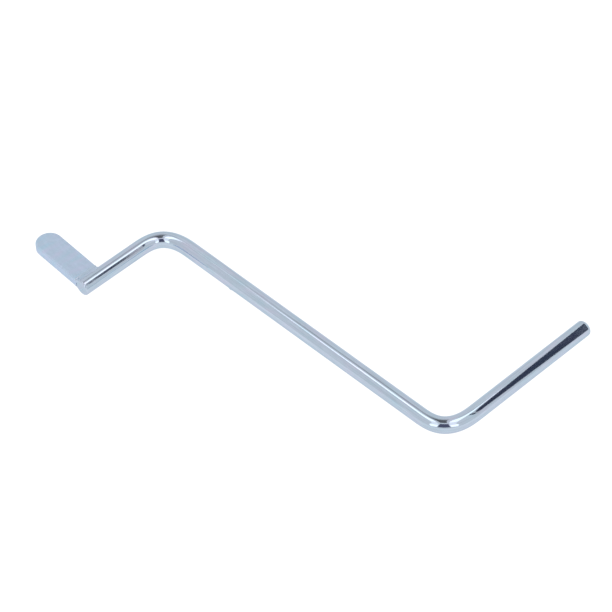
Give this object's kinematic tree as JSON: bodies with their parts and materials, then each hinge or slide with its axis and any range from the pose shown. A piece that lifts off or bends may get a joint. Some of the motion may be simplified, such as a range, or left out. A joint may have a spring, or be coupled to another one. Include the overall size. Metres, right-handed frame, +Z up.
{
  "type": "string winder",
  "caption": "Hand crank bent from round zinc-plated rod, with a flat round-tipped blade welded to the side of its short leg.",
  "frame": {"origin": "on the surface the winder lies on, under the middle of its bounding box", "axes": "+Y along the crank arm towards the blade, +X along the handle leg towards its free end, +Z up from the surface it lies on"},
  "size_m": [0.11, 0.1724, 0.006],
  "materials": {
    "plated_rod": "bright zinc plating with a faint blue passivate, semi-gloss drawn bar",
    "plated_blade": "satin zinc plating with a faint blue passivate over flat bar",
    "plated_weld": "zinc plating over an as-laid weld bead"
  },
  "bodies": {
    "root": {"crank_rod": "plated_rod", "blade": "plated_blade", "weld_bead_top": "plated_weld", "weld_bead_bottom": "plated_weld"}
  },
  "joints": []
}
